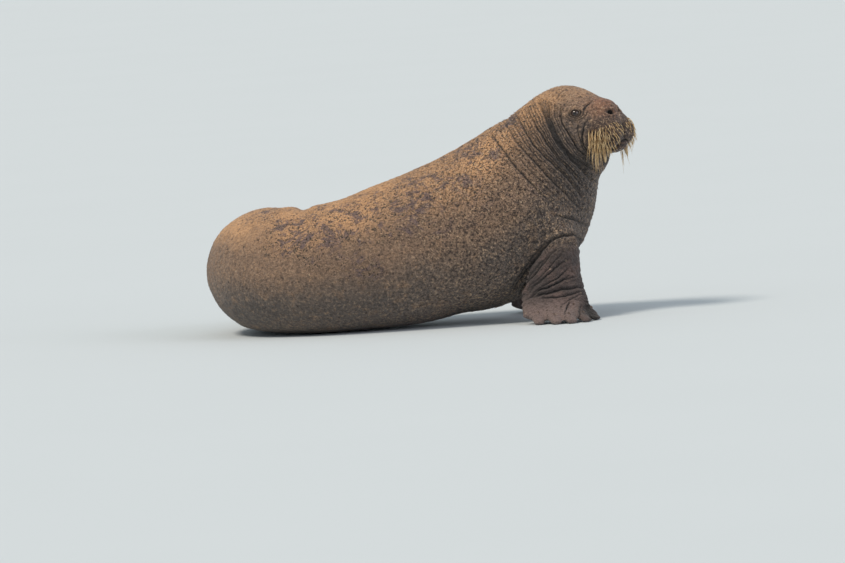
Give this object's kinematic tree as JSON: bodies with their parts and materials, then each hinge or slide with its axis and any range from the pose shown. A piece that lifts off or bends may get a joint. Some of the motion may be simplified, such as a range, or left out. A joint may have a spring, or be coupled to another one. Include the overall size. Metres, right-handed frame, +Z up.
{
  "type": "walrus",
  "caption": "Life-size young walrus lying on its belly with its chest raised on both front flippers, head turned to its right.",
  "frame": {"origin": "bottom centre of the bounding box, on the floor", "axes": "+X toward the animal's chest and head, +Y to its left, +Z up"},
  "size_m": [1.8796, 1.5994, 0.9676],
  "materials": {
    "hide": "matte short fur",
    "muzzle_hide": "matte",
    "flipper_hide": "wrinkled bare skin",
    "eye": "wet gloss",
    "tusk": "satin ivory",
    "whisker": "satin horn"
  },
  "bodies": {
    "root": {"head": "hide", "muzzle": "muzzle_hide", "lower_jaw": "muzzle_hide", "eye_right": "eye", "eye_left": "eye", "tusk_right": "tusk", "tusk_left": "tusk", "neck": "hide", "chest": "hide", "belly": "hide", "rump": "hide", "hips": "hide", "tail": "hide", "arm_right": "flipper_hide", "arm_left": "flipper_hide", "hand_right": "flipper_hide", "hand_left": "flipper_hide", "hind_flipper_right": "flipper_hide", "hind_flipper_left": "flipper_hide"}
  },
  "joints": []
}
